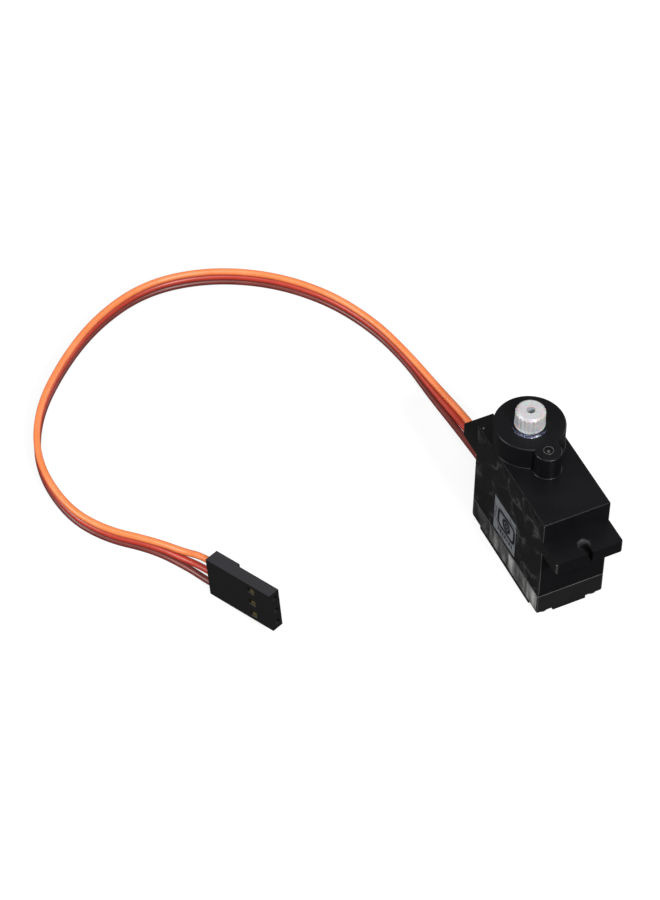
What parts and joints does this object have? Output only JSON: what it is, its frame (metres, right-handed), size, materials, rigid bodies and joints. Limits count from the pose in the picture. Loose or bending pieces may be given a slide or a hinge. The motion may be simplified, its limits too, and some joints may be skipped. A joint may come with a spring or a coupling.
{
  "type": "servo motor",
  "caption": "Micro servo motor with mounting ears, a splined output shaft on a raised gear tower and a three-wire lead ending in a pin-header plug.",
  "frame": {"origin": "middle of the case on its underside", "axes": "+X towards the output shaft and the lead, +Y towards the labelled side, +Z along the output shaft, away from the case"},
  "size_m": [0.0963, 0.0736, 0.0299],
  "materials": {
    "case_black": "satin black ABS",
    "cover_black": "glossy black ABS",
    "screw_steel": "zinc plated",
    "label_foil": "silver printed foil under clear film",
    "pin_steel": "ground steel",
    "can_steel": "nickel plated",
    "cap_plastic": "natural nylon",
    "tinned_brass": "tinned",
    "magnet": "ferrite",
    "pot_plastic": "moulded",
    "resistive_track": "printed carbon",
    "hookup_white": "PVC",
    "board_green": "solder mask",
    "chip_black": "epoxy",
    "capacitor_tan": "ceramic",
    "wire_orange": "PVC",
    "wire_red": "PVC",
    "wire_brown": "PVC",
    "plug_black": "moulded",
    "contact_gold": "gold flash",
    "nylon_white": "natural nylon",
    "pinion_brass": "turned",
    "armature_copper": "enamelled copper"
  },
  "bodies": {
    "case": {"top_cover": "case_black", "middle_case": "case_black", "bottom_cover": "cover_black", "case_screws": "screw_steel", "side_label": "label_foil", "idler_pin": "pin_steel", "motor_can": "can_steel", "motor_end_cap": "cap_plastic", "motor_terminals": "tinned_brass", "motor_magnets": "magnet", "pot_body": "pot_plastic", "pot_track": "resistive_track", "pot_terminals": "tinned_brass", "pot_hookup_wires": "hookup_white", "circuit_board": "board_green", "driver_chip": "chip_black", "board_capacitors": "capacitor_tan", "board_resistors": "chip_black", "board_tank_capacitor": "capacitor_tan", "wire_orange": "wire_orange", "wire_red": "wire_red", "wire_brown": "wire_brown", "connector_housing": "plug_black", "connector_contacts": "contact_gold"},
    "output": {"output_gear": "nylon_white", "pot_shaft": "pin_steel", "pot_wiper": "tinned_brass"},
    "third_gear": {"gear_3": "nylon_white"},
    "second_gear": {"gear_2": "nylon_white"},
    "first_gear": {"gear_1": "nylon_white"},
    "rotor": {"motor_pinion": "pinion_brass", "motor_shaft": "pin_steel", "motor_armature": "armature_copper", "motor_commutator": "pinion_brass"}
  },
  "joints": [
    {"name": "rotor_spin", "type": "hinge", "parent": "case", "child": "rotor", "pos_m": [-0.007, 0, 0.018], "axis": [0, 0, 1], "range_deg": [-13044.69, 13044.69]},
    {"name": "gear_1_spin", "type": "hinge", "parent": "case", "child": "first_gear", "pos_m": [-0.00108, 0, 0.018], "axis": [0, 0, 1], "range_deg": [-3089.53, 3089.53]},
    {"name": "gear_2_spin", "type": "hinge", "parent": "case", "child": "second_gear", "pos_m": [0.00535, 0, 0.018], "axis": [0, 0, 1], "range_deg": [-950.62, 950.62]},
    {"name": "gear_3_spin", "type": "hinge", "parent": "case", "child": "third_gear", "pos_m": [-0.00108, 0, 0.018], "axis": [0, 0, 1], "range_deg": [-292.5, 292.5]},
    {"name": "output_spin", "type": "hinge", "parent": "case", "child": "output", "pos_m": [0.00535, 0, 0.018], "axis": [0, 0, 1], "range_deg": [-90, 90]}
  ],
  "couplings": [
    {"joint": "gear_1_spin", "follows": "rotor_spin", "ratio": -0.23684},
    {"joint": "gear_2_spin", "follows": "rotor_spin", "ratio": 0.072874},
    {"joint": "gear_3_spin", "follows": "rotor_spin", "ratio": -0.022423},
    {"joint": "output_spin", "follows": "rotor_spin", "ratio": 0.0068994}
  ]
}
